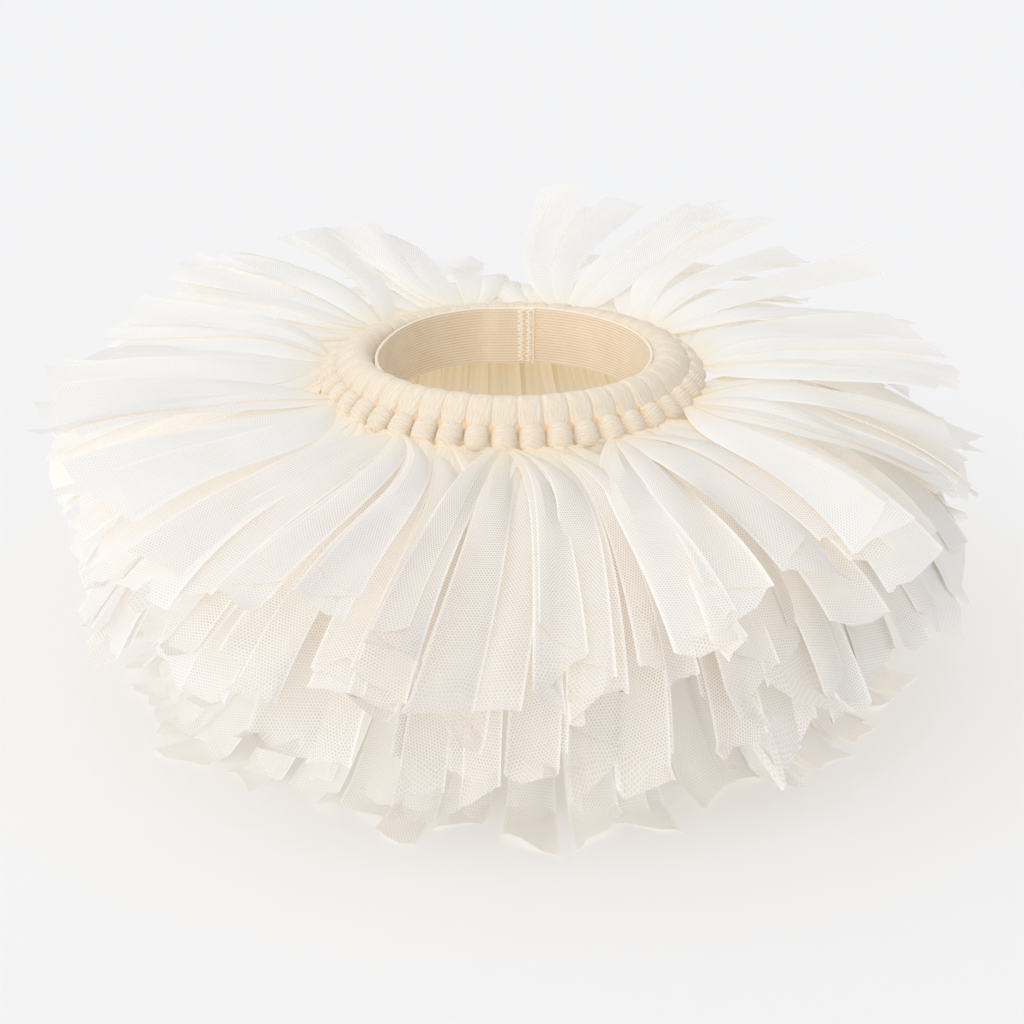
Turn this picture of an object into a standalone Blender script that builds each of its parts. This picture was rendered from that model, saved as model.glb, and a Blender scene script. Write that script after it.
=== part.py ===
"""A newborn's ballet tutu: strips of tulle knotted side by side round an elastic waistband.

It stands by itself on the ends of its lowest strips, with the waist open from top to bottom.
Units are metres, +Z is up and the front faces -Y. The origin is on the floor, under the middle
of the waist. Angles round the waist run from the front (-Y) towards the wearer's left (+X).
"""

import math
import random
from collections import namedtuple

import bmesh
import bpy
from mathutils import Vector

# Elastic: a 25 mm ribbed band, its ends lapped and sewn at the back.
WAIST_RADIUS = 0.055  # inner face
RIM_HEIGHT = 0.125  # top edge of the elastic over the floor
ELASTIC_WIDTH = 0.025
ELASTIC_THICKNESS = 0.0012
ELASTIC_STEPS = 60
LAP_OUTER_END = 178.5  # degrees round the waist, under the lap
LAP_INNER_END = 170.1  # degrees round the waist, the end seen inside
LAP_FLAT = 15.0  # degrees of the inner end that lie stepped in on the other
LAP_EASE = 10.0  # degrees over which it steps in
STAND_OFF = 0.0022  # how far the elastic leans away from the tulle at its right side
STAND_OFF_AT = 255.0
STAND_OFF_SPREAD = 42.0
SEAM_GAP = 0.0003

# Tulle strips: each is doubled over the waist, knotted, and leaves two tails, side by side.
STRIPS = 44
PITCH = 360.0 / STRIPS  # degrees from one strip to the next
FIRST_STRIP = -2.4  # degrees, the strip nearest the front
SECTOR = math.radians(PITCH) / 2  # half of the room that one strip has round the waist
CREST_FALL = 0.0016  # the roll of loops stands this much higher in front and lower behind
COLUMNS = (-1.0, -0.5, 0.0, 0.5, 1.0)  # across a loop, and across a tail
FORK_COLUMNS = (-1.0, -0.75, -0.5, -0.25, 0.0, 0.25, 0.5, 0.75, 1.0)  # both tails' together
EDGE_PADDING = 0.42  # share of the loop's thickness left at its edges

# One row for each section of the padded loop and the barrel knot under it, from behind the
# elastic's outer face, over the top, and down to where the tails come out. Heights are from
# the rim, width is a share of the strip's room, and heading is the way the strip runs, in
# degrees over level.
LoopSection = namedtuple("LoopSection", "radius height heading width thickness")
LOOP = (
    LoopSection(0.05800, -0.00800, 90, 0.80, 0.0026),
    LoopSection(0.05930, -0.00060, 52, 0.98, 0.0040),
    LoopSection(0.06360, -0.00020, -22, 1.00, 0.0048),
    LoopSection(0.06860, -0.00450, -43, 0.70, 0.0036),
    LoopSection(0.06990, -0.00580, -45, 0.92, 0.0062),
    LoopSection(0.07230, -0.00820, -45, 1.00, 0.0076),
    LoopSection(0.07480, -0.01070, -42, 0.88, 0.0064),
    LoopSection(0.07580, -0.01160, -36, 0.66, 0.0030),
)
CREST_SECTIONS = (1, 2)  # the sections that follow the roll's crest

# Tails: walls of tulle, each in two soft pleats. At the hem a tail has two strips' worth of
# room, because the strips take turns in the layers.
TAIL_THICKNESS = 0.0017  # across the layer; square to a pleat's slope it is 1.2 mm
ROOT_PLEAT = 0.0003
FILL = 0.83  # share of its room that a tail spans
SPREAD = 0.95  # how late a tail opens out: 1 is evenly
HANDLE = 0.38  # how far a tail's curve follows its first and last direction
FOOT_LENGTH = 0.011
ROWS = (0.13, 0.32, 0.54, 0.77, 1.0)  # shares of a tail's curve

# One row for each layer of tails. Reach and height are of the hem in front, at the sides and
# behind. Launch and landing are a tail's first and last slope, in degrees, at the sides; each
# turns up by its rise behind and down by as much in front. The tails fall apart at a parting
# behind, each layer by its own drop.
Tier = namedtuple("Tier", "reach height launch launch_rise landing landing_rise pleat parting")
CROWN = Tier((0.187, 0.188, 0.190), (0.074, 0.112, 0.148), 20, 14, -20, 20, 0.0044, 0.042)
OVERSKIRT = Tier((0.178, 0.187, 0.178), (0.050, 0.080, 0.110), 0, 10, -36, 14, 0.0042, 0.030)
UNDERSKIRT = Tier((0.173, 0.184, 0.172), (0.024, 0.044, 0.066), -20, 9, -50, 8, 0.0044, 0.014)
HEM = Tier((0.168, 0.165, 0.168), (0.0, 0.0, 0.0), -70, 0, -38, 0, 0.0040, 0.0)
LAYERS = (CROWN, OVERSKIRT, UNDERSKIRT, HEM)  # in the order that the strips take them
PARTING_AT = 184.0  # degrees round the waist
PARTING_SPREAD = 12.0

# What differs from one tail to the next, at most.
LEAN = 0.9  # degrees to either side, at the hem
LENGTH_SPREAD = 0.007
HEIGHT_SPREAD = 0.004
CUT_SLANT = 0.007  # how far a hem's corners are cut back
SEED = 7

TULLE_COLOUR = (0.955, 0.915, 0.845, 1.0)
ELASTIC_COLOUR = (0.860, 0.740, 0.590, 1.0)


def clear_scene():
    for thing in list(bpy.data.objects):
        bpy.data.objects.remove(thing)


def fabric(name, colour, roughness):
    material = bpy.data.materials.new(name)
    material.use_nodes = True
    shader = material.node_tree.nodes["Principled BSDF"]
    shader.inputs["Base Color"].default_value = colour
    shader.inputs["Roughness"].default_value = roughness
    shader.inputs["Metallic"].default_value = 0.0
    return material


def round_waist(place, angle):
    """The point at that (radius, height), angle radians from the front towards +X."""
    return Vector((place.x * math.sin(angle), -place.x * math.cos(angle), place.y))


def heading_vector(degrees):
    """The (outwards, up) step of that slope, and the one square to it, on the upper side."""
    slope = math.radians(degrees)
    return Vector((math.cos(slope), math.sin(slope))), Vector((-math.sin(slope), math.cos(slope)))


def section(mesh, columns):
    """The upper and the under row of vertices across a strip.

    A column is (angle, (radius, height) in the wall's middle, half of its thickness there).
    """
    upper = [mesh.verts.new(round_waist(middle + half, angle)) for angle, middle, half in columns]
    under = [mesh.verts.new(round_waist(middle - half, angle)) for angle, middle, half in columns]
    return upper, under


def close_end(mesh, rows):
    upper, under = rows
    for k in range(len(upper) - 1):
        mesh.faces.new((upper[k], upper[k + 1], under[k + 1], under[k]))


def skin(mesh, sections):
    """Walls from each section to the next: the upper side, the under side and both edges.

    The next section may have twice the columns. Both sides are split into the same triangles,
    so that the wall stays equally thick over a pleat.
    """
    for first, second in zip(sections, sections[1:]):
        for row, following in zip(first, second):
            ratio = (len(following) - 1) // (len(row) - 1)
            for k in range(len(row) - 1):
                onward = [row[k + 1]] + following[ratio * k : ratio * (k + 1) + 1][::-1]
                for a, b in zip(onward, onward[1:]):
                    mesh.faces.new((row[k], a, b))
        for edge in (0, -1):
            down = [row[edge] for row in first]
            up = [row[edge] for row in reversed(second)]
            mesh.faces.new(down + up)


def finish(mesh, name, material):
    bmesh.ops.recalc_face_normals(mesh, faces=mesh.faces)
    bmesh.ops.triangulate(mesh, faces=mesh.faces)
    data = bpy.data.meshes.new(name)
    mesh.to_mesh(data)
    mesh.free()
    data.materials.append(material)
    data.shade_smooth()
    data.set_sharp_from_angle(angle=math.radians(40))
    made = bpy.data.objects.new(name, data)
    bpy.context.scene.collection.objects.link(made)


def elastic_band(material):
    """The band runs once round, and its inner end laps over the outer one by the sewn width."""
    end = LAP_INNER_END - 360
    turn = end - LAP_OUTER_END
    mesh = bmesh.new()
    sections = []
    for step in range(ELASTIC_STEPS + 1):
        angle = LAP_OUTER_END + turn * step / ELASTIC_STEPS
        eased = min(1.0, max(0.0, (end + LAP_FLAT + LAP_EASE - angle) / LAP_EASE))
        step_in = (ELASTIC_THICKNESS + SEAM_GAP) * eased * eased * (3 - 2 * eased)
        away = min(1.0, abs(angle % 360 - STAND_OFF_AT) / STAND_OFF_SPREAD)
        lean = STAND_OFF * 0.5 * (1 + math.cos(math.pi * away))
        middle = WAIST_RADIUS - step_in - lean + ELASTIC_THICKNESS / 2
        half = Vector((ELASTIC_THICKNESS / 2, 0))
        heights = (RIM_HEIGHT - ELASTIC_WIDTH, RIM_HEIGHT)
        columns = [(math.radians(angle), Vector((middle, height)), half) for height in heights]
        sections.append(section(mesh, columns))
    skin(mesh, sections)
    close_end(mesh, sections[0])
    close_end(mesh, sections[-1])
    finish(mesh, "elastic_band", material)


def loop_columns(number, angle, across):
    """One section of the padded loop and its knot."""
    row = LOOP[number]
    lift = CREST_FALL * math.cos(angle) if number in CREST_SECTIONS else 0.0
    middle = Vector((row.radius, RIM_HEIGHT + row.height + lift))
    half = heading_vector(row.heading)[1] * row.thickness / 2
    room = (SECTOR - SEAM_GAP / 2 / WAIST_RADIUS) * row.width
    columns = []
    for x in across:
        padding = EDGE_PADDING + (1 - EDGE_PADDING) * (1 - abs(x) ** 3)
        columns.append((angle + x * room, middle, half * padding))
    return columns


def round_skirt(stations, angle):
    """The value at that angle of one given in front, at the sides and behind."""
    front, side, behind = stations
    facing = math.cos(angle)
    return side + (front - side if facing > 0 else behind - side) * facing * facing


def tail_curve(tier, angle, length, lift):
    """The path of a tail whose hem is at angle.

    Its rows are (share, (radius, height), the direction square to the path).
    """
    back = -math.cos(angle)
    foot = tier is HEM
    root = Vector((LOOP[-1].radius, RIM_HEIGHT + LOOP[-1].height))
    reach = round_skirt(tier.reach, angle) - length - (FOOT_LENGTH if foot else 0.0)
    height = TAIL_THICKNESS / 2 if foot else round_skirt(tier.height, angle) + lift
    apart = (math.degrees(angle) - PARTING_AT) / PARTING_SPREAD
    tip = Vector((reach, height - tier.parting * math.exp(-apart * apart)))
    handle = HANDLE * (tip - root).length
    launch = heading_vector(tier.launch + tier.launch_rise * back)[0]
    landing = heading_vector(tier.landing + tier.landing_rise * back)[0]
    a, b, c, d = root, root + launch * handle, tip - landing * handle, tip
    rows = []
    for s in ROWS:
        t = 1 - s
        place = a * t**3 + b * 3 * t * t * s + c * 3 * t * s * s + d * s**3
        along = (b - a) * t * t + (c - b) * 2 * t * s + (d - c) * s * s
        along.normalize()
        rows.append((s, place, Vector((-along.y, along.x))))
    if foot:
        up = Vector((0, 1))
        rows[-1:] = [(1.0, tip, up), (1.0, tip + Vector((FOOT_LENGTH, 0)), up)]
    return rows


def tail_sections(mesh, tier, strip_angle, side, dice):
    """One free end of a strip: gathered at the knot, opening into two pleats, cut at a slant.

    It swings out to the right or the left of its strip, as side is 1 or -1.
    """
    lean = math.radians(dice.uniform(-LEAN, LEAN))
    length = dice.uniform(0, LENGTH_SPREAD)
    lift = dice.uniform(-HEIGHT_SPREAD, HEIGHT_SPREAD)
    fill = FILL * dice.uniform(0.88, 1.0)
    pleats = [(-1) ** k * dice.uniform(0.65, 1.0) for k in range(len(COLUMNS))]
    cuts = [dice.uniform(0, CUT_SLANT) * abs(x) for x in COLUMNS]
    rows = tail_curve(tier, strip_angle + 2 * SECTOR * side, length, lift)
    sections = []
    for number, (share, place, square) in enumerate(rows):
        flat = tier is HEM and number >= len(rows) - 2
        last = number == len(rows) - 1
        room = SECTOR * (0.5 + 1.5 * share**SPREAD)
        middle_angle = strip_angle + side * room + lean * share
        pleat = 0.0 if flat else ROOT_PLEAT + (tier.pleat - ROOT_PLEAT) * share
        along = Vector((square.y, -square.x))
        half = square * TAIL_THICKNESS / 2
        columns = []
        for x, fold, cut in zip(COLUMNS, pleats, cuts):
            middle = place + square * pleat * fold - along * (cut if last else 0.0)
            columns.append((middle_angle + x * room * fill, middle, half))
        sections.append(section(mesh, columns))
    return sections


def strip(number, material):
    """A whole strip: its loop over the waist, its knot, and its two tails in one layer."""
    angle = math.radians(FIRST_STRIP + PITCH * number)
    dice = random.Random(SEED * 1000 + number)
    tier = LAYERS[number % len(LAYERS)]
    mesh = bmesh.new()
    loop = [section(mesh, loop_columns(k, angle, COLUMNS)) for k in range(len(LOOP) - 1)]
    fork = section(mesh, loop_columns(len(LOOP) - 1, angle, FORK_COLUMNS))
    close_end(mesh, loop[0])
    skin(mesh, loop + [fork])
    middle = len(FORK_COLUMNS) // 2
    roots = [row[: middle + 1] for row in fork], [row[middle:] for row in fork]
    for root, side in zip(roots, (-1, 1)):
        tail = [root] + tail_sections(mesh, tier, angle, side, dice)
        skin(mesh, tail)
        close_end(mesh, tail[-1])
    finish(mesh, f"strip_{number + 1:02d}", material)


def main():
    clear_scene()
    tulle = fabric("tulle", TULLE_COLOUR, 0.85)
    elastic = fabric("elastic", ELASTIC_COLOUR, 0.80)
    elastic_band(elastic)
    for number in range(STRIPS):
        strip(number, tulle)


main()
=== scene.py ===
import math
import random
from collections import namedtuple

import bpy
import numpy as np
from mathutils import Euler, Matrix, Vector


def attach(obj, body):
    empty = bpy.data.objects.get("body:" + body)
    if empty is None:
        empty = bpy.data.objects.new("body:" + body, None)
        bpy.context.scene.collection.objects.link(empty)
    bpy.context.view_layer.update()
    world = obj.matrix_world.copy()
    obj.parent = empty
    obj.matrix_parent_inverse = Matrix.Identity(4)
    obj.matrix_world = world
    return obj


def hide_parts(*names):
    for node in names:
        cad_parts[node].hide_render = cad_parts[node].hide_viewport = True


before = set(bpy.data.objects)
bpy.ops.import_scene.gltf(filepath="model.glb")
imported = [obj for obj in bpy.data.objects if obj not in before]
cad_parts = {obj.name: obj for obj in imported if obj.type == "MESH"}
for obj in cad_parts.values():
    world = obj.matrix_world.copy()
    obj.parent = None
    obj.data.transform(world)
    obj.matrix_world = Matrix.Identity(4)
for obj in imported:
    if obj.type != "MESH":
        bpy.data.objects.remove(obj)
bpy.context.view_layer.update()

# ---------------------------------------------------------------------------
# Waistband: 25 mm ribbed elastic, woven with rubber cores that stand up as fine ribs along its
# length and a smooth selvedge at both edges. It is cut to 36 cm and its ends lap at the back.
# ---------------------------------------------------------------------------

WAIST_RADIUS = 0.055  # inner face
RIM_HEIGHT = 0.125  # top edge of the elastic over the floor
ELASTIC_WIDTH = 0.025
ELASTIC_THICKNESS = 0.0012
ELASTIC_STEPS = 250
LAP_OUTER_END = 178.5  # degrees round the waist, under the lap
LAP_INNER_END = 170.1  # degrees round the waist, the end seen inside
LAP_FLAT = 15.0  # degrees of the inner end that lie stepped in on the other
LAP_EASE = 10.0  # degrees over which it steps in
STAND_OFF = 0.0022  # how far the elastic leans away from the tulle at its right side
STAND_OFF_AT = 255.0
STAND_OFF_SPREAD = 42.0
SEAM_GAP = 0.0003
RIBS = 19
RIB_DEPTH = 0.00017
RIB_ROUND = 0.7  # 1 is a plain sine wave, less is flatter on top
POINTS_A_RIB = 5
SELVEDGE = 0.0007
SELVEDGE_SWELL = 0.0001
EDGE_ROUND = 0.0003
PICK = 0.00105  # from one weft thread to the next
# The elastic on the crowns of its ribs, and the painted shade in the grooves between them.
ELASTIC_LIGHT = (0.965, 0.855, 0.700, 1.0)
ELASTIC_GROOVE_SHADE = (0.760, 0.570, 0.360, 1.0)
SELVEDGE_COLOUR = (0.950, 0.860, 0.730, 1.0)
CUT_END = 1.1  # degrees of the inner end, by its cut edge, that take the selvedge's paler colour


class Shade:
    """A socket among a material's nodes. Sums with it are worked out by Math nodes."""

    def __init__(self, tree, socket):
        self.tree = tree
        self.socket = socket

    def node(self, kind, settings, sockets, output=0):
        """Another node: its settings first, then the values or links of its sockets."""
        made = self.tree.nodes.new("ShaderNode" + kind)
        for name, value in settings.items():
            if name == "stops":
                ramp = made.color_ramp.elements
                while len(ramp) < len(value):
                    ramp.new(1.0)
                for stop, (place, colour) in zip(ramp, value):
                    stop.position = place
                    stop.color = colour
            else:
                setattr(made, name, value)
        for name, value in sockets.items():
            if isinstance(value, Shade):
                self.tree.links.new(value.socket, made.inputs[name])
            else:
                made.inputs[name].default_value = value
        return Shade(self.tree, made.outputs[output])

    def maths(self, operation, *values, clamp=False):
        settings = {"operation": operation, "use_clamp": clamp}
        return self.node("Math", settings, dict(enumerate(values)))

    def __add__(self, other):
        return self.maths("ADD", self, other)

    __radd__ = __add__

    def __sub__(self, other):
        return self.maths("SUBTRACT", self, other)

    def __rsub__(self, other):
        return self.maths("SUBTRACT", other, self)

    def __mul__(self, other):
        return self.maths("MULTIPLY", self, other)

    __rmul__ = __mul__

    def clamped(self):
        return self.maths("ADD", self, 0.0, clamp=True)

    def mix(self, first, second):
        """The colour from first to second, as this goes from 0 to 1."""
        return self.node("Mix", {"data_type": "RGBA"}, {0: self, 6: first, 7: second}, 2)

    def into(self, name):
        self.tree.links.new(self.socket, self.tree.nodes["Principled BSDF"].inputs[name])


def new_finish(name, plain):
    """A material with the settings that are the same all over, and its place on the cloth."""
    material = bpy.data.materials.new(name)
    material.use_nodes = True
    tree = material.node_tree
    shader = tree.nodes["Principled BSDF"]
    for socket, value in plain.items():
        shader.inputs[socket].default_value = value
    start = Shade(tree, shader.outputs[0])
    place = start.node("UVMap", {"uv_map": "cloth"}, {})
    across = place.node("SeparateXYZ", {}, {0: place}, 0)
    along = Shade(tree, across.socket.node.outputs[1])
    return material, place, across, along


def rolled_grid(wide, rows, closed):
    """Faces between rows of that many points, numbered one row after the other."""
    faces = []
    for r in range(rows - 1):
        for k in range(wide if closed else wide - 1):
            a, b = r * wide + k, r * wide + (k + 1) % wide
            faces.append((a, b, b + wide, a + wide))
    return faces


def sewn_piece(name, points, faces, cloth, finish, marks=None):
    """A piece from its points, its faces, and each point's place on the cloth in metres.

    Marks are values at the points that its finish reads by name.
    """
    mesh = bpy.data.meshes.new(name)
    mesh.from_pydata([tuple(p) for p in points], [], faces)
    corner = np.zeros(len(mesh.loops), np.int32)
    mesh.loops.foreach_get("vertex_index", corner)
    places = mesh.uv_layers.new(name="cloth")
    places.data.foreach_set("uv", np.array(cloth, np.float32)[corner].ravel())
    for mark, values in (marks or {}).items():
        layer = mesh.attributes.new(mark, "FLOAT", "POINT")
        layer.data.foreach_set("value", np.array(values, np.float32))
    mesh.materials.append(finish)
    mesh.shade_smooth()
    made = bpy.data.objects.new(name, mesh)
    bpy.context.scene.collection.objects.link(made)
    return made


def round_waist(radius, height, angle):
    """The point at that radius and height, angle radians from the front towards +X."""
    return Vector((radius * math.sin(angle), -radius * math.cos(angle), height))


def inner_face(degrees):
    """Radius of the elastic's inner face, which steps in over the lap and leans in at one side."""
    end = LAP_INNER_END - 360
    eased = min(1.0, max(0.0, (end + LAP_FLAT + LAP_EASE - degrees) / LAP_EASE))
    step_in = (ELASTIC_THICKNESS + SEAM_GAP) * eased * eased * (3 - 2 * eased)
    away = min(1.0, abs(degrees % 360 - STAND_OFF_AT) / STAND_OFF_SPREAD)
    return WAIST_RADIUS - step_in - STAND_OFF * 0.5 * (1 + math.cos(math.pi * away))


def elastic_outline():
    """(inwards from the inner face, height over the lower edge) round the band's section."""
    body = ELASTIC_WIDTH - 2 * SELVEDGE
    rib = body / RIBS
    top = ELASTIC_WIDTH
    corner, swell = (0.00002, 0.00025), (SELVEDGE_SWELL, SELVEDGE * 0.55)
    outer = -ELASTIC_THICKNESS * 0.96
    outline = [(-ELASTIC_THICKNESS * 0.5, 0.0), corner, swell]
    for k in range(RIBS * POINTS_A_RIB + 1):
        turn = k / POINTS_A_RIB
        crown = abs(math.sin(math.pi * turn)) ** RIB_ROUND
        outline.append((RIB_DEPTH * crown, SELVEDGE + rib * turn))
    outline += [(swell[0], top - swell[1]), (corner[0], top - corner[1])]
    outline += [(-ELASTIC_THICKNESS * 0.5, top), (outer, top - EDGE_ROUND)]
    outline += [(-ELASTIC_THICKNESS, ELASTIC_WIDTH / 2), (outer, EDGE_ROUND)]
    return outline


def elastic_finish():
    """Pale beads where a weft thread crosses a rib, and painted shade: rib crowns lighter, grooves
    darker.
    """
    finish, place, along, up = new_finish(
        "ribbed_elastic",
        {"Roughness": 0.78, "Sheen Weight": 0.12, "Sheen Roughness": 0.5},
    )
    rib = (ELASTIC_WIDTH - 2 * SELVEDGE) / RIBS
    phase = (up - SELVEDGE) * (math.pi / rib)
    crown = phase.maths("ABSOLUTE", phase.maths("SINE", phase))
    weft = along * (2 * math.pi / PICK) + phase
    beads = weft.maths("SINE", weft) * crown
    cloud = place.node("TexNoise", {}, {"Vector": place, "Scale": 90.0, "Detail": 3.0}, 0)
    edge = place.node("Attribute", {"attribute_name": "selvedge"}, {}, 2)
    # Lighter on the crowns of the ribs and darker between them: painted shade.
    lit = (crown * 0.75 + beads * 0.22 + cloud * 0.5 - 0.12).clamped()
    edge.mix(lit.mix(ELASTIC_GROOVE_SHADE, ELASTIC_LIGHT), SELVEDGE_COLOUR).into("Base Color")
    height = crown * 0.5 + beads * 0.4
    bump = {"Strength": 0.55, "Distance": 0.0002, "Height": height}
    place.node("Bump", {}, bump).into("Normal")
    return finish


def make_elastic(finish):
    outline = elastic_outline()
    start, end = LAP_OUTER_END, LAP_INNER_END - 360
    points, cloth, edges = [], [], []
    for step in range(ELASTIC_STEPS + 1):
        degrees = start + (end - start) * step / ELASTIC_STEPS
        face = inner_face(degrees)
        angle = math.radians(degrees)
        for inwards, up in outline:
            points.append(round_waist(face - inwards, RIM_HEIGHT - ELASTIC_WIDTH + up, angle))
            cloth.append((math.radians(degrees) * WAIST_RADIUS, up))
            at_edge = min(up, ELASTIC_WIDTH - up) < SELVEDGE * 0.8 or degrees < end + CUT_END
            edges.append(1.0 if at_edge else 0.0)
    wide = len(outline)
    faces = rolled_grid(wide, ELASTIC_STEPS + 1, True)
    faces.append(tuple(reversed(range(wide))))
    faces.append(tuple(wide * ELASTIC_STEPS + k for k in range(wide)))
    band = sewn_piece("waist_elastic", points, faces, cloth, finish, {"selvedge": edges})
    band.data.set_sharp_from_angle(angle=math.radians(70))
    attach(band, "root")
    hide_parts("elastic_band")
    return band


elastic = make_elastic(elastic_finish())

# ---------------------------------------------------------------------------
# Lap stitching: two columns of thick zigzag in soft cotton thread, sewn through both ends of
# the elastic where they lap, from its lower edge to its upper edge.
# ---------------------------------------------------------------------------

STITCH_COLUMNS = ((176.0, 1.85), (172.4, 1.35))  # degrees round the waist, and half a zigzag
STITCH_RISE = 0.00200  # height of one whole zigzag
THREAD_RADIUS = 0.00050
THREAD_TWIST = 0.0006  # length of thread in which its plies go once round
STITCH_MARGIN = 0.0006  # from the elastic's edge to the first stitch
STITCH_WANDER = (0.12, 0.0001)  # degrees, and height, that a stitch misses its place by
STITCH_SUNK = 0.0002
STITCH_SIDES = 8
STITCH_RINGS = 9
THREAD_COLOUR = (1.000, 0.965, 0.890, 1.0)
THREAD_SHADE = (0.900, 0.790, 0.630, 1.0)


def thread_finish():
    finish, place, across, along = new_finish(
        "stitching_thread", {"Roughness": 0.62, "Sheen Weight": 0.2, "Sheen Roughness": 0.4}
    )
    twist = across * (2 * math.pi) + along * (2 * math.pi / THREAD_TWIST)
    ply = twist.maths("SINE", twist) * 0.5 + 0.5
    ply.mix(THREAD_SHADE, THREAD_COLOUR).into("Base Color")
    place.node("Bump", {}, {"Strength": 0.6, "Distance": 0.0001, "Height": ply}).into("Normal")
    return finish


def stitch(points, cloth, faces, first, second):
    """One stitch of thread from the first point to the second, sunk at both ends and humped."""
    inwards = Vector((-first.x, -first.y, 0)).normalized()
    run = second - first
    side = run.cross(inwards).normalized()
    base = len(points)
    for ring in range(STITCH_RINGS):
        t = ring / (STITCH_RINGS - 1)
        hump = math.sin(math.pi * t)
        middle = first + run * t + inwards * THREAD_RADIUS * (1.9 * hump**0.6 - 0.5)
        radius = THREAD_RADIUS * (0.35 + 0.65 * hump**0.5)
        for k in range(STITCH_SIDES + 1):
            turn = 2 * math.pi * k / STITCH_SIDES
            points.append(middle + (side * math.cos(turn) + inwards * math.sin(turn)) * radius)
            cloth.append((k / STITCH_SIDES, run.length * t))
    grid = rolled_grid(STITCH_SIDES + 1, STITCH_RINGS, False)
    faces += [tuple(base + k for k in face) for face in grid]


def make_stitching(finish):
    points, cloth, faces = [], [], []
    dice = random.Random(21)
    count = int((ELASTIC_WIDTH - 2 * STITCH_MARGIN) / (STITCH_RISE / 2))
    aside, aloft = STITCH_WANDER
    for middle, half in STITCH_COLUMNS:
        ends = []
        for k in range(count + 1):
            degrees = middle + (half if k % 2 else -half) + dice.uniform(-aside, aside)
            height = RIM_HEIGHT - STITCH_MARGIN - STITCH_RISE / 2 * k
            height += dice.uniform(-aloft, aloft)
            radius = inner_face(degrees - 360) - STITCH_SUNK
            ends.append(round_waist(radius, height, math.radians(degrees)))
        for first, second in zip(ends, ends[1:]):
            stitch(points, cloth, faces, first, second)
    sewn = sewn_piece("lap_stitching", points, faces, cloth, finish)
    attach(sewn, "root")
    return sewn


lap_stitching = make_stitching(thread_finish())

# ---------------------------------------------------------------------------
# Loops: each strip of soft nylon tulle is doubled over the waist in a puffy loop. The gathered
# net shows as fine strands that run over the top and draw together at the neck.
# ---------------------------------------------------------------------------

STRIPS = 44
PITCH = 360.0 / STRIPS  # degrees from one strip to the next
FIRST_STRIP = -2.4  # degrees, the strip nearest the front
SECTOR = math.radians(PITCH) / 2  # half of the room that one strip has round the waist
CREST_FALL = 0.0016  # the roll of loops stands this much higher in front and lower behind
# Sections up along the elastic's outer face, over the roll, and down to the neck. Heights are
# from the rim, heading is in degrees over level, width is a share of the strip's room, and lift
# is how far a section follows the roll's crest.
Section = namedtuple("Section", "radius height heading width thickness lift")
LOOP = (
    Section(0.05800, -0.01500, 90, 0.62, 0.0036, 0),
    Section(0.05810, -0.00900, 90, 0.90, 0.0040, 0),
    Section(0.05830, -0.00300, 86, 1.16, 0.0046, 0.6),
    Section(0.05960, -0.00020, 45, 1.19, 0.0050, 1),
    Section(0.06240, 0.00020, -8, 1.17, 0.0054, 1),
    Section(0.06550, -0.00140, -34, 1.12, 0.0056, 0.5),
    Section(0.06790, -0.00370, -43, 1.00, 0.0052, 0),
    Section(0.06990, -0.00570, -45, 0.64, 0.0042, 0),
    Section(0.07130, -0.00730, -45, 0.50, 0.0030, 0),
)
BACK_DROP = 0.0022  # how much flatter the loops lie behind
LOOP_ROWS = 30
LOOP_AROUND = 64
LOOP_BOXED = (0.55, 0.72)  # of its section, across and through: 1 is round, less is squarer
LOOP_SLUMP = 0.10  # how far its middle leans aside, at the most
LOOP_PLUMP = (0.92, 1.08)
GATHER_DEPTH = 0.00055
GATHERS = 6  # waves of strands across a loop, each with a count, a start and a size of its own
GATHER_COUNT = (2.2, 9.5)
GATHER_SIZE = (0.4, 1)
LOOP_CLOTH = 0.062  # radius at which a loop's strands are as wide as their pattern
# Painted shade, deep and warm, between the strands of gathered tulle, and the tulle itself on
# them.
TULLE_STRAND_SHADE = (0.820, 0.640, 0.420, 1.0)
TULLE_PALE = (0.900, 0.835, 0.732, 1.0)


def heading_vector(degrees):
    """The (outwards, up) step of that slope, and the one square to it, on the upper side."""
    slope = math.radians(degrees)
    return Vector((math.cos(slope), math.sin(slope))), Vector((-math.sin(slope), math.cos(slope)))


def between(sections, share):
    """The section at that share of the row of sections, by a smooth curve through them."""
    place = share * (len(sections) - 1)
    k = min(len(sections) - 2, int(place))
    t = place - k
    ends = [sections[min(len(sections) - 1, max(0, k + j))] for j in (-1, 0, 1, 2)]
    mixed = []
    for a, b, c, d in zip(*ends):
        bend = (2 * a - 5 * b + 4 * c - d) * t * t + (3 * b - a - 3 * c + d) * t**3
        mixed.append(0.5 * (2 * b + (c - a) * t + bend))
    return Section(*mixed)


def gathered_finish(name, strand, grain):
    """Bunched tulle: strands along the cloth, with the net's grain showing between them,
    and a painted shade, deep and warm, down between the strands.
    """
    finish, place, across, along = new_finish(
        name, {"Roughness": 0.85, "Sheen Weight": 0.25, "Sheen Roughness": 0.6}
    )
    stretch = (1 / strand, 1 / (strand * 9), 1)
    fibres = place.node("Mapping", {}, {"Vector": place, "Scale": stretch})
    strands = place.node("TexNoise", {}, {"Vector": fibres, "Scale": 1.0, "Detail": 2.0}, 0)
    mesh_u = across * (2 * math.pi / grain)
    mesh_v = along * (2 * math.pi / (grain * 1.7))
    holes = mesh_u.maths("SINE", mesh_u + strands * 6.0) * mesh_u.maths("SINE", mesh_v)
    # Darker and warmer between the strands: painted shade.
    lit = ((strands - 0.5) * 2.0 + holes * 0.26 + 0.62).clamped()
    lit.mix(TULLE_STRAND_SHADE, TULLE_PALE).into("Base Color")
    height = strands * 1.0 + holes * 0.22
    bump = {"Strength": 0.8, "Distance": 0.00035, "Height": height}
    place.node("Bump", {}, bump).into("Normal")
    return finish


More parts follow.
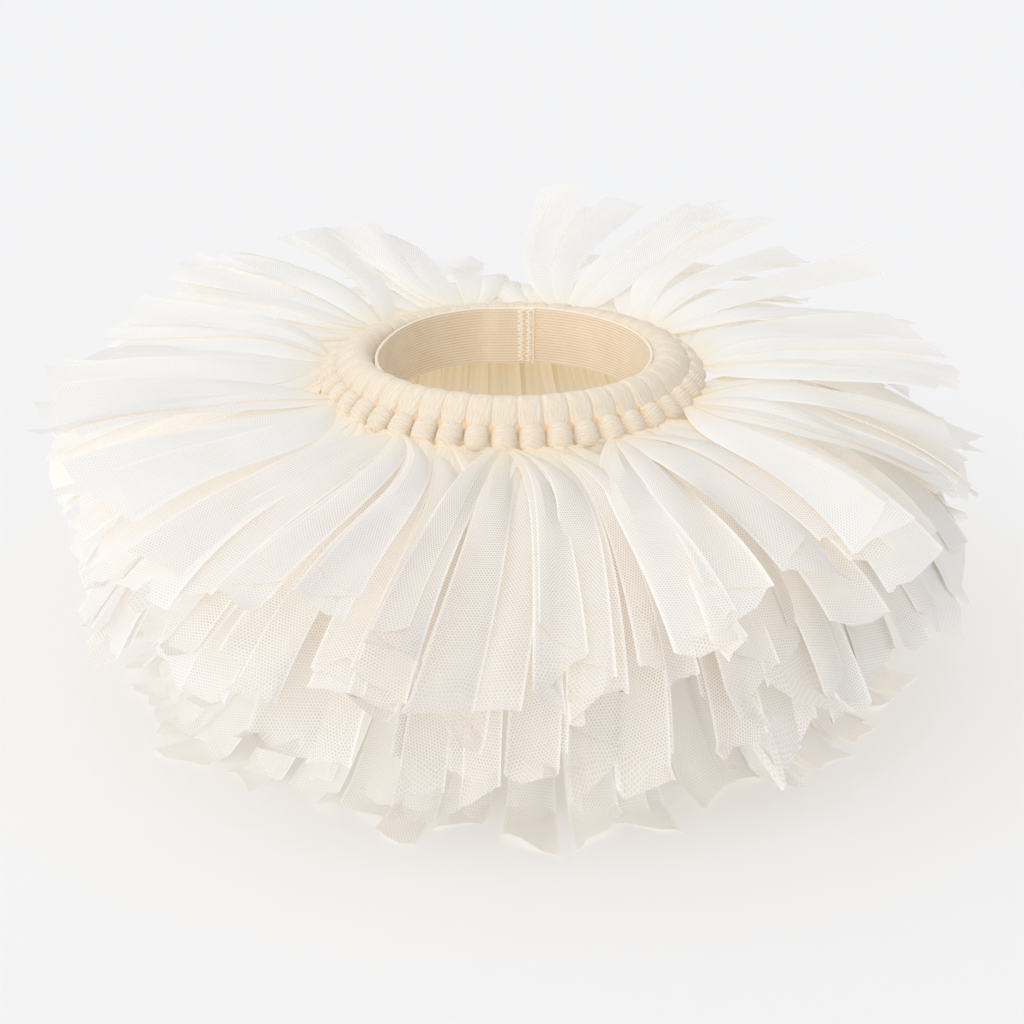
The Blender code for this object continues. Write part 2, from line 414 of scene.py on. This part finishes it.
def make_loop(number, finish):
    angle = math.radians(FIRST_STRIP + PITCH * number)
    dice = random.Random(500 + number)
    waves = [
        (dice.uniform(*GATHER_COUNT), dice.uniform(0, 6.28), dice.uniform(*GATHER_SIZE))
        for _ in range(GATHERS)
    ]
    slump = dice.uniform(-LOOP_SLUMP, LOOP_SLUMP)
    plump = dice.uniform(*LOOP_PLUMP)
    points, cloth = [], []
    run = 0.0
    last = None
    for r in range(LOOP_ROWS + 1):
        here = between(LOOP, r / LOOP_ROWS)
        height = RIM_HEIGHT + here.height + CREST_FALL * math.cos(angle) * here.lift
        outwards = (here.radius - LOOP[0].radius) / (LOOP[-1].radius - LOOP[0].radius)
        height -= BACK_DROP * max(0.0, -math.cos(angle)) * math.sin(math.pi * max(0.0, outwards))
        middle = Vector((here.radius, height))
        run += (middle - last).length if last else 0.0
        last = middle
        square = heading_vector(here.heading)[1]
        half_width = SECTOR * here.radius * here.width
        for k in range(LOOP_AROUND):
            turn = 2 * math.pi * k / LOOP_AROUND - math.pi / 2
            x = math.copysign(abs(math.cos(turn)) ** LOOP_BOXED[0], math.cos(turn))
            y = math.copysign(abs(math.sin(turn)) ** LOOP_BOXED[1], math.sin(turn))
            fold = sum(size * math.cos(many * x * 2.2 + phase) for many, phase, size in waves)
            depth = GATHER_DEPTH * fold / 3 * max(0.25, 1.5 * (1.15 - here.width))
            out = middle + square * (y * (here.thickness / 2 * plump + depth))
            shift = half_width * (x + slump * (1 - x * x))
            points.append(round_waist(out.x, out.y, angle + shift / here.radius))
            cloth.append((x * SECTOR * LOOP_CLOTH, run))
    faces = rolled_grid(LOOP_AROUND, LOOP_ROWS + 1, True)
    faces.append(tuple(reversed(range(LOOP_AROUND))))
    faces.append(tuple(LOOP_AROUND * LOOP_ROWS + k for k in range(LOOP_AROUND)))
    loop = sewn_piece(f"loop_{number + 1:02d}", points, faces, cloth, finish)
    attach(loop, "root")
    return loop


loop_finish = gathered_finish("gathered_tulle", 0.00050, 0.00058)
loops = [make_loop(number, loop_finish) for number in range(STRIPS)]

# ---------------------------------------------------------------------------
# Filling: behind the necks the doubled strips lie pressed together against the elastic, so that
# no gap between two loops is open. It is the same tulle, many layers deep; its deep warm colour
# is painted shade, the warm shade in the gaps between the necks.
# ---------------------------------------------------------------------------

FILLING = (0.0640, -0.0068, 0.0062, 0.0050)  # radius, height, and half of its width and height
FILLING_STEPS = 440
FILLING_AROUND = 12
FILLING_RIPPLE = 0.05
# Both colours of the filling are painted shade, deep and warm.
FILLING_SHADE_DEEP = (0.800, 0.560, 0.330, 1.0)
FILLING_SHADE_PALE = (0.930, 0.760, 0.540, 1.0)


def make_filling():
    finish, place, _, _ = new_finish("tulle_in_painted_shade", {"Roughness": 0.9})
    fibres = place.node("Mapping", {}, {"Vector": place, "Scale": (1400.0, 120.0, 1.0)})
    strands = place.node("TexNoise", {}, {"Vector": fibres, "Scale": 1.0, "Detail": 2.0}, 0)
    strands.mix(FILLING_SHADE_DEEP, FILLING_SHADE_PALE).into("Base Color")
    bump = {"Strength": 0.7, "Distance": 0.0003, "Height": strands}
    place.node("Bump", {}, bump).into("Normal")
    radius, height, half_width, half_height = FILLING
    points, cloth = [], []
    for step in range(FILLING_STEPS + 1):
        angle = 2 * math.pi * step / FILLING_STEPS
        ripple = 1 + FILLING_RIPPLE * math.sin(angle * STRIPS * 2.5)
        for k in range(FILLING_AROUND):
            turn = 2 * math.pi * k / FILLING_AROUND
            out = radius + half_width * ripple * math.cos(turn)
            up = RIM_HEIGHT + height + half_height * ripple * math.sin(turn)
            points.append(round_waist(out, up, angle))
            cloth.append((angle * radius, turn * half_height))
    faces = rolled_grid(FILLING_AROUND, FILLING_STEPS + 1, True)
    filling = sewn_piece("filling_in_painted_shade", points, faces, cloth, finish)
    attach(filling, "root")


make_filling()

# ---------------------------------------------------------------------------
# Knots: below the loop the strip is drawn through itself, and wraps round its own neck in a
# small tight barrel. Its turns lie side by side, and slant a little differently in each knot.
# ---------------------------------------------------------------------------

KNOT_RADIUS = 0.07240
KNOT_HEIGHT = -0.00830
KNOT_HEADING = -45
KNOT_LENGTH = 0.0054  # half, along the strip
KNOT_WIDTH = 0.93  # of the room that a strip has
KNOT_THICKNESS = 0.0042  # half
KNOT_ROWS = 56
KNOT_AROUND = 36
KNOT_BARREL = 2.8  # of its outline: 2 is an egg, more is squarer
KNOT_SIZE = (0.94, 1.03)
KNOT_TWIST = 9  # degrees to either side, at the most
KNOT_NOD = 5  # degrees up or down, at the most
WRAPS = (7.0, 9.0)  # turns of tulle, least and most
WRAP_SLANT = 0.30
WRAP_DEPTH = 0.00026


def make_knot(number, finish):
    angle = math.radians(FIRST_STRIP + PITCH * number)
    dice = random.Random(900 + number)
    wraps = dice.uniform(*WRAPS)
    slant = dice.uniform(-WRAP_SLANT, WRAP_SLANT)
    phase = dice.uniform(0, 6.28)
    twist = math.radians(dice.uniform(-KNOT_TWIST, KNOT_TWIST))
    size = dice.uniform(*KNOT_SIZE)
    along, square = heading_vector(KNOT_HEADING + dice.uniform(-KNOT_NOD, KNOT_NOD))
    points, cloth = [], []
    half_width = SECTOR * KNOT_RADIUS * KNOT_WIDTH * size
    for r in range(KNOT_ROWS + 1):
        t = -math.cos(math.pi * r / KNOT_ROWS)
        swell = max(0.02, 1 - abs(t) ** KNOT_BARREL) ** (1 / KNOT_BARREL)
        for k in range(KNOT_AROUND + 1):
            turn = 2 * math.pi * k / KNOT_AROUND - math.pi / 2
            x, y = math.cos(turn), math.sin(turn)
            around = t + slant * x + 0.05 * math.sin(2 * turn + phase)
            wrap = abs(math.sin(math.pi * wraps * 0.5 * around + phase)) ** 0.6 - 0.6
            grow = 1 + WRAP_DEPTH * wrap / KNOT_THICKNESS * swell
            out = (KNOT_THICKNESS * size * y * swell * grow, half_width * x * swell * grow)
            forth = t * KNOT_LENGTH * size
            middle = Vector((KNOT_RADIUS, RIM_HEIGHT + KNOT_HEIGHT)) + square * out[0]
            turned = forth * math.cos(twist) - out[1] * math.sin(twist)
            sideways = forth * math.sin(twist) + out[1] * math.cos(twist)
            middle += along * turned
            points.append(round_waist(middle.x, middle.y, angle + sideways / middle.x))
            cloth.append((around * KNOT_LENGTH, turn * 0.0045))
    faces = rolled_grid(KNOT_AROUND + 1, KNOT_ROWS + 1, False)
    knot = sewn_piece(f"knot_{number + 1:02d}", points, faces, cloth, finish)
    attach(knot, "root")
    return knot


knot_finish = gathered_finish("wrapped_tulle", 0.00060, 0.00070)
knots = [make_knot(number, knot_finish) for number in range(STRIPS)]

# ---------------------------------------------------------------------------
# Tails: both ends of a strip, cut 70 mm wide, come out under its knot. Each is gathered there
# and falls in two leaves, folded lengthwise, with raw ends cut at a slant. The net is nylon
# with hexagonal holes, seen through where one layer of it lies alone.
# ---------------------------------------------------------------------------

TAIL_ROOT = (0.07420, -0.00980)  # radius, and height from the rim
HANDLE = 0.38  # how far a tail's curve follows its first and last direction
FOOT_LENGTH = 0.011
FOOT_HEIGHT = 0.0009
FLOOR_CLEARANCE = 0.0004

# One row for each layer of tails. Reach and height are of the hem in front, at the sides and
# behind. Launch and landing are a tail's first and last slope, in degrees, at the sides; each
# turns up by its rise behind and down by as much in front. The tails fall apart at a parting
# behind. Spread is the share of its length in which a leaf reaches its own place round the
# waist, and toss is how far its end may lift or drop.
TIER_COLUMNS = "reach height launch launch_rise landing landing_rise parting spread toss"
Tier = namedtuple("Tier", TIER_COLUMNS)
CROWN = Tier((0.184, 0.186, 0.190), (0.080, 0.112, 0.148), 7, 23, -12, 18, 0.042, 0.10, 0.014)
OVERSKIRT = Tier((0.175, 0.187, 0.178), (0.055, 0.080, 0.110), 2, 22, -38, 14, 0.030, 0.11, 0.014)
UNDERSKIRT = Tier((0.168, 0.184, 0.172), (0.028, 0.044, 0.066), -6, 20, -60, 8, 0.014, 0.12, 0.009)
HEM = Tier((0.157, 0.165, 0.168), (0.0, 0.0, 0.0), -66, 0, -40, 0, 0.0, 0.03, 0.001)
LAYERS = (CROWN, OVERSKIRT, UNDERSKIRT, HEM)  # in the order that the strips take them
PARTING_AT = 184.0  # degrees round the waist
PARTING_SPREAD = 12.0

# What differs from one tail to the next, at most, in the same draws as the strip's solid.
SEED = 7
LEAN = 0.7  # degrees to either side, at the hem
LENGTH_SPREAD = 0.007
HEIGHT_SPREAD = 0.004
FILL = 0.83  # share of its room that a tail spans
SOLID_DRAWS = 10  # that the solid's pleats and cut take, and the leaves don't

# Leaves: how wide one is, how it is gathered at the knot, and where it opens.
LEAF_ROWS = 22
LEAF_ROWS_BUNCH = 1.25  # 1 spaces the rows evenly, more sets them closer at the knot
LOOK_AHEAD = 0.02  # share of the path over which its direction is taken
LEAF_WIDTH = (1.28, 2.45, 1.62)  # of half a strip's room, in front, at the sides and behind
LEAF_WIDTH_SPREAD = (0.85, 1.12)
CLOTH_RADIUS = 0.160  # where a leaf is as wide as its cloth; nearer the knots it is gathered
LEAST_CLOTH = 0.21  # across a leaf with its folds laid flat, in radians at that radius
MOST_CLOTH = 0.35
HEM_FULLER = 1.30  # the lowest leaves are this much wider, which closes the skirt under the waist
LEAF_ASIDE = 0.25  # of half a strip's room, that a leaf falls beside its place at the most
NECK_WIDTH = 0.25  # share of its full width that a leaf has at the knot
SHOULDER = 0.070  # share of its length in which a leaf opens
HEM_SHOULDER = 0.010
GATHERED_END = 0.34  # share of its length where a leaf's gathers have run out
GATHERED_FADE = 1.4
HEM_GATHERED_END = 0.90
HEM_GATHERED = (1.1, -0.4)  # how gathered a lowest leaf is aside, and what is added in front

# Folds: each leaf is folded lengthwise, and its plies lie a little apart.
FOLD_START = (0.1, 1.0)  # where creases lie across a leaf, in half widths, least and most
FOLD_BACK = (0.35, 1.0)
FOLD_AGAIN = (-0.3, 0.8)
FOLDED_AGAIN = 0.95  # share of the leaves in front and behind that have one more fold
FOLDS_SHUT = 1.5  # how soon, from the sides to the front and the back, folds are narrow
FOLD_STEPS = (0.0, 0.07, 0.30, 0.70, 0.93)  # columns from one crease to the next
PLY_GAP = (0.0006, 0.0012)
PLY_OPENING = (0.35, 0.5)  # share of that gap at the knot, and what is added towards the end
LEAF_ARCH = (0.0021, 0.0008)  # a leaf's dome at the sides, and what is added in front
ARCH_END = 0.50  # share of its length where that dome has run out
LEAF_WAVE = (0.0006, 0.0020)
LEAF_WAVES = (2.0, 4.5)
LEAF_ROLL = 8  # degrees, its usual turn about its own length; in front twice that
ROLL_LATE = 1.2  # 1 turns it evenly, more turns it near its end
LEAF_SWING = 1.4  # degrees, how far it usually swings aside

# Raw ends: cut short, at a slant, and a little ragged; all are shares of the leaf's length.
CUT_SHORT = 0.08
CUT_SLANT = 0.26
CUT_SLANT_LEAST = 0.3  # share of that slant which every leaf has
CUT_RAGGED = 0.010
CUT_RAGS = 11.0

PLEAT = 0.0024  # width of one of the fine pleats drawn up at the knot
NET_HOLE = 0.00122  # from one hole of the net to the next
GRAIN = 0.40  # slope of the net's rows, at the most, against the length of a strip
THREAD_EDGE = 0.05  # of the net's wave, where thread ends and hole begins
THREAD_SHARP = 2.0
FAR_THREAD = 0.6  # cover of a net too far off for its holes to show
NEAR_LEAST = 0.4  # how clear the holes of the furthest leaves still are
FILM = (0.78, 0.76, 0.38)  # share of each hole that further plies close: in front, aside, behind
FILM_PATCHES = 0.6
HEM_PALER = 0.35  # share of the front leaves' painted shade that the lowest ones take
# The front leaves' threads are painted darker and warmer than NET_THIN, which the sides and back
# take: painted shade among their stacked layers.
NET_FRONT_SHADED = (0.818, 0.781, 0.738, 1.0)
# In the holes in front: painted shade, the plies behind the net in shade.
NET_SHADE_BEHIND = (0.782, 0.730, 0.665, 1.0)
NET_THIN = (0.870, 0.863, 0.848, 1.0)
# A painted highlight along the creases.
NET_CREASE_HIGHLIGHT = (0.930, 0.910, 0.885, 1.0)
# Painted warm shade where the cloth is gathered, darker in its folds.
NET_GATHERED_WARM_SHADE = (0.985, 0.800, 0.445, 1.0)
NET_GATHERED_FOLD_SHADE = (0.885, 0.690, 0.345, 1.0)


def net_finish():
    """Hexagonal net: pale thread round see-through holes, closed where the cloth is gathered,
    creased or backed by further plies. Its colour holds painted shade, darker and warmer in front,
    in the holes where plies lie behind and where the cloth is gathered; the creases hold a painted
    highlight.
    """
    finish, place, across, along = new_finish(
        "tulle_net", {"Roughness": 0.8, "Specular IOR Level": 0.25}
    )
    wave = 4 * math.pi / (math.sqrt(3) * NET_HOLE)
    grain = place.node("Attribute", {"attribute_name": "grain"}, {}, 2)
    c = along.maths("COSINE", (along - across * grain) * (wave / 2))
    d = along.maths("COSINE", (across + along * grain) * (wave * math.sqrt(3) / 2))
    holes = c * (c + d) * 2.0 - 1.0
    gather = place.node("Attribute", {"attribute_name": "gather"}, {}, 2)
    fine = across * (2 * math.pi / PLEAT) + along * 9.0
    folds = across.maths("SINE", fine * 0.37)
    pleats = across.maths("SINE", fine + 2.0 * folds)
    near = place.node("Attribute", {"attribute_name": "near"}, {}, 2)
    clear = near * (1 - NEAR_LEAST) + NEAR_LEAST
    threads = (THREAD_EDGE - holes * THREAD_SHARP).clamped() * clear + (1 - clear) * FAR_THREAD
    # How far the gathered cloth takes its painted warm shade.
    warm_shade_share = (gather * gather * 0.42).clamped()
    gather = gather.clamped()
    strands = pleats * 0.5 + 0.5
    # Threads and holes of the net, with painted shade in light and dark streaks along the pleats.
    lace = (threads + gather * (strands - threads) + (strands - 0.5) * 0.28).clamped()
    patches = place.node("TexNoise", {}, {"Vector": place, "Scale": 55.0, "Detail": 1.0}, 0)
    film = place.node("Attribute", {"attribute_name": "film"}, {}, 2)
    film = (film + (patches - 0.5) * FILM_PATCHES).clamped()
    crease = place.node("Attribute", {"attribute_name": "crease"}, {}, 2)
    body = (threads + gather + crease * 0.7).clamped()
    cover = body * (1 - film) + film
    # The holes show the plies behind in a painted shade.
    deep = near.mix(NET_THIN, NET_SHADE_BEHIND)
    # Towards the front the threads take a painted shade, darker and warmer.
    pale = near.mix(NET_THIN, NET_FRONT_SHADED)
    # Along the creases: a painted highlight.
    colour = (crease * (near * 0.7 + 0.3)).mix(lace.mix(deep, pale), NET_CREASE_HIGHLIGHT)
    # Painted warm shade where the cloth is gathered, darker in the folds of the gathers.
    warm = (folds * 0.5 + 0.5).mix(NET_GATHERED_FOLD_SHADE, NET_GATHERED_WARM_SHADE)
    warm_shade_share.mix(colour, warm).into("Base Color")
    tree = finish.node_tree
    front = Shade(tree, tree.nodes["Principled BSDF"].outputs[0])
    hole = place.node("BsdfTransparent", {}, {})
    cloth = place.node("MixShader", {}, {0: cover, 1: hole, 2: front})
    tree.links.new(cloth.socket, tree.nodes["Material Output"].inputs["Surface"])
    return finish


def round_skirt(stations, angle):
    """The value at that angle of one given in front, at the sides and behind."""
    front, side, behind = stations
    facing = math.cos(angle)
    return side + (front - side if facing > 0 else behind - side) * facing * facing


def tail_path(tier, angle, length, lift):
    """Where a tail with its hem at angle runs: (radius, height) for a share of its curve."""
    back = -math.cos(angle)
    foot = tier is HEM
    root = Vector((TAIL_ROOT[0], RIM_HEIGHT + TAIL_ROOT[1]))
    reach = round_skirt(tier.reach, angle) - length - (FOOT_LENGTH if foot else 0.0)
    height = FOOT_HEIGHT if foot else round_skirt(tier.height, angle) + lift
    apart = (math.degrees(angle) - PARTING_AT) / PARTING_SPREAD
    tip = Vector((reach, height - tier.parting * math.exp(-apart * apart)))
    handle = HANDLE * (tip - root).length
    launch = heading_vector(tier.launch + tier.launch_rise * back)[0]
    landing = heading_vector(tier.landing + tier.landing_rise * back)[0]
    a, b, c, d = root, root + launch * handle, tip - landing * handle, tip
    length = (tip - root).length
    ending = FOOT_LENGTH / (length + FOOT_LENGTH) if foot else 0.0

    def place(share):
        s = share / (1 - ending)
        if s > 1:
            return tip + Vector(((s - 1) * (1 - ending) * (length + FOOT_LENGTH), 0))
        t = 1 - s
        return a * t**3 + b * 3 * t * t * s + c * 3 * t * s * s + d * s**3

    return place


def fold_plan(facing, dice):
    """Creases of a leaf: (place across the leaf from -1 to 1, depth in the stack), in order.

    In front and behind it hangs in narrow folds; at the sides it has opened out.
    """
    way = dice.choice((-1, 1))
    start, back = dice.uniform(*FOLD_START), dice.uniform(*FOLD_BACK)
    again = dice.uniform(*FOLD_AGAIN)
    shut = min(1.0, FOLDS_SHUT * abs(facing))
    start = start * shut + 1 - shut
    back = back * shut - 0.2 * (1 - shut)
    turns = [-way * start, way * 1.0, -way * back]
    if dice.random() < FOLDED_AGAIN * shut:
        turns.append(way * again)
    return [(x, k) for k, x in enumerate(turns)]


def leaf_columns(creases):
    """(place across the leaf, depth, cloth across in shares of a half width, at a crease)."""
    columns = []
    cloth = 0.0
    for (x, depth), (next_x, _) in zip(creases, creases[1:]):
        ply = next_x - x
        for step in FOLD_STEPS:
            eased = step * step * (3 - 2 * step)
            columns.append((x + ply * step, depth + eased, cloth + abs(ply) * step, step == 0.0))
        cloth += abs(ply)
    x, depth = creases[-1]
    columns.append((x, depth, cloth, True))
    return columns


def make_leaf(shape, marks, tier, strip_angle, sector, path, lean, fill, dice):
    """One folded leaf of a tail, which falls that many half rooms from its strip."""
    points, cloth, faces = shape
    facing = math.cos(strip_angle)
    in_front = max(0.0, facing)
    hem = tier is HEM
    columns = leaf_columns(fold_plan(in_front if hem else facing, dice))
    roll = math.radians(dice.gauss(0, LEAF_ROLL + LEAF_ROLL * in_front))
    width = round_skirt(LEAF_WIDTH, strip_angle) * SECTOR * fill * dice.uniform(*LEAF_WIDTH_SPREAD)
    width *= HEM_FULLER if hem else 1.0
    total = columns[-1][2]
    width = min(max(width, LEAST_CLOTH / total), MOST_CLOTH / total)
    shoulder = HEM_SHOULDER if hem else SHOULDER
    arch = LEAF_ARCH[0] + LEAF_ARCH[1] * facing
    film = round_skirt(FILM, strip_angle)
    grain = dice.uniform(-GRAIN, GRAIN)
    swing = math.radians(dice.gauss(0, LEAF_SWING))
    stack = dice.uniform(*PLY_GAP) * dice.choice((-1, 1))
    narrow = 0.5 + 0.5 * abs(facing)
    rise = dice.uniform(-1, 1) * tier.toss * narrow
    slant = dice.uniform(CUT_SLANT_LEAST, 1.0) * dice.choice((-1, 1)) * narrow
    short = dice.uniform(0.0, CUT_SHORT)
    wave_size = dice.uniform(*LEAF_WAVE)
    wave_many = dice.uniform(*LEAF_WAVES)
    wave_phase = dice.uniform(0, 6.28)
    # How far a leaf takes the front's painted shade, and how clear its holes are.
    near = in_front**2 * (HEM_PALER if hem else 1.0)
    base = len(points)
    length = sum(
        (path((r + 1) / LEAF_ROWS) - path(r / LEAF_ROWS)).length for r in range(LEAF_ROWS)
    )
    for r in range(LEAF_ROWS + 1):
        share = (r / LEAF_ROWS) ** LEAF_ROWS_BUNCH
        spread = 1 - math.exp(-share / tier.spread)
        shifted = (sector + 1 - share) * spread
        middle = strip_angle + SECTOR * shifted + (lean + swing) * share
        gathered = max(0.0, 1 - share / GATHERED_END) ** GATHERED_FADE
        if hem:
            gathered = HEM_GATHERED[0] + HEM_GATHERED[1] * facing
            gathered *= max(0.0, 1 - share / HEM_GATHERED_END)
        for x, depth, across, crease in columns:
            ragged = CUT_RAGGED * math.sin(CUT_RAGS * across + 3 * wave_phase)
            s = share * (1 - short - slant * (across / total - 0.5) * CUT_SLANT + ragged)
            place = path(s)
            ahead = path(s + LOOK_AHEAD) - path(max(0.0, s - LOOK_AHEAD))
            ahead.normalize()
            square = Vector((-ahead.y, ahead.x))
            opened = NECK_WIDTH + (1 - NECK_WIDTH) * (1 - math.exp(-s / shoulder))
            half = width * place.x * opened
            dome = arch * (1 - x * x) * math.sin(math.pi * min(1.0, s / ARCH_END))
            wave = wave_size * math.sin(wave_many * x + wave_phase + 5 * s) * s
            opening = PLY_OPENING[0] + PLY_OPENING[1] * s
            offset = stack * depth * opening + dome + wave + rise * s * s
            tilt = roll * s**ROLL_LATE
            sideways = half * x * math.cos(tilt) - offset * math.sin(tilt)
            upwards = half * x * math.sin(tilt) + offset * math.cos(tilt)
            spot = place + square * upwards
            height = max(FLOOR_CLEARANCE, spot.y)
            points.append(round_waist(spot.x, height, middle + sideways / spot.x))
            cloth.append((across * width * CLOTH_RADIUS, s * length))
            here = (gathered, film, 1.0 if crease else 0.0, near, grain)
            for values, value in zip(marks.values(), here):
                values.append(value)
    grid = rolled_grid(len(columns), LEAF_ROWS + 1, False)
    faces += [tuple(base + k for k in face) for face in grid]


def make_tails(number, finish):
    """Both tails of a strip: on each side two leaves, in the layer that is the strip's."""
    strip_angle = math.radians(FIRST_STRIP + PITCH * number)
    dice = random.Random(SEED * 1000 + number)
    own = random.Random(4000 + number)
    tier = LAYERS[number % len(LAYERS)]
    shape = points, cloth, faces = [], [], []
    marks = {"gather": [], "film": [], "crease": [], "near": [], "grain": []}
    for side in (-1, 1):
        lean = math.radians(dice.uniform(-LEAN, LEAN))
        length = dice.uniform(0, LENGTH_SPREAD)
        lift = dice.uniform(-HEIGHT_SPREAD, HEIGHT_SPREAD)
        fill = FILL * dice.uniform(0.88, 1.0)
        for _ in range(SOLID_DRAWS):
            dice.uniform(0, 1)
        path = tail_path(tier, strip_angle + 2 * SECTOR * side, length, lift)
        for sector in (side, 3 * side):
            sector += own.uniform(-LEAF_ASIDE, LEAF_ASIDE)
            make_leaf(shape, marks, tier, strip_angle, sector, path, lean, fill, own)
    tails = sewn_piece(f"tails_{number + 1:02d}", points, faces, cloth, finish, marks)
    tails.data.set_sharp_from_angle(angle=math.radians(30))
    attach(tails, "root")
    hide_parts(f"strip_{number + 1:02d}")


net = net_finish()
for number in range(STRIPS):
    make_tails(number, net)

# ---------------------------------------------------------------------------
# The setting: a plain white floor under soft light from all round, a little stronger from the
# upper left, and the camera in front of the waist, twenty degrees up.
# ---------------------------------------------------------------------------

FLOOR_HALF = 12.0
FLOOR_COLOUR = (0.912, 0.914, 0.925, 1.0)
FLOOR_DIMMER = (0.900, 0.902, 0.913, 1.0)
CAMERA_DISTANCE = 0.82  # from the middle of the waist's rim
CAMERA_ELEVATION = 20.0
RENDER_HALF = 512  # half of the render's width
RIM_ROW = 351  # row of the render in which the middle of the rim lies

floor_finish, floor_place, _, _ = new_finish(
    "white_floor", {"Roughness": 0.9, "Specular IOR Level": 0.0}
)
cloudy = floor_place.node("TexNoise", {}, {"Vector": floor_place, "Scale": 0.7, "Detail": 2.0}, 0)
cloudy.mix(FLOOR_COLOUR, FLOOR_DIMMER).into("Base Color")
corners = [(-1, -1), (1, -1), (1, 1), (-1, 1)]
floor = sewn_piece(
    "floor",
    [Vector((x, y, 0)) * FLOOR_HALF for x, y in corners],
    [(0, 1, 2, 3)],
    [(x * FLOOR_HALF, y * FLOOR_HALF) for x, y in corners],
    floor_finish,
)

BRIGHT_SIDE = Vector((-0.60, -0.76, 0.22)).normalized()

world = bpy.data.worlds.new("studio")
world.use_nodes = True
world.cycles.sampling_method = "NONE"
backdrop = world.node_tree.nodes["Background"]
backdrop.inputs["Color"].default_value = (1.0, 1.0, 1.0, 1.0)
way = Shade(world.node_tree, backdrop.outputs[0]).node("TexCoord", {}, {}, 0)
facing = way.node("VectorMath", {"operation": "DOT_PRODUCT"}, {0: way, 1: BRIGHT_SIDE}, 1)
world.node_tree.links.new((facing * 0.18 + 0.76).socket, backdrop.inputs["Strength"])
bpy.context.scene.world = world

# White walls all round throw light into every fold: a lamp that casts no shadow stands for them.
fill_light = bpy.data.lights.new("white_walls", "SUN")
fill_light.energy = 0.90
fill_light.use_shadow = False
fill_stand = bpy.data.objects.new("white_walls", fill_light)
fill_stand.rotation_euler = Vector((0.54, 0.42, -0.73)).to_track_quat("-Z", "Y").to_euler()
bpy.context.scene.collection.objects.link(fill_stand)

# The floor inside the skirt sends back, from below, the warm light that its layers let through.
glow = bpy.data.lights.new("under_the_waist", "SUN")
glow.energy = 0.85
glow.color = (1.0, 0.84, 0.60)
glow.use_shadow = False
glow_stand = bpy.data.objects.new("under_the_waist", glow)
glow_stand.rotation_euler = Vector((0.10, 0.30, 0.94)).to_track_quat("-Z", "Y").to_euler()
bpy.context.scene.collection.objects.link(glow_stand)

lens = bpy.data.cameras.new("camera")
lens.sensor_width = 36.0
lens.lens = 72.07
lens.shift_x = -0.0006
lens.shift_y = (RIM_ROW - RENDER_HALF) / (2 * RENDER_HALF)
lens.clip_end = 40.0
camera = bpy.data.objects.new("camera", lens)
elevation = math.radians(CAMERA_ELEVATION)
camera.location = (
    0.0,
    -CAMERA_DISTANCE * math.cos(elevation),
    RIM_HEIGHT + CAMERA_DISTANCE * math.sin(elevation),
)
camera.rotation_euler = Euler((math.pi / 2 - elevation, 0.0, 0.0))
bpy.context.scene.collection.objects.link(camera)
bpy.context.scene.camera = camera
bpy.context.scene.view_settings.view_transform = "Standard"
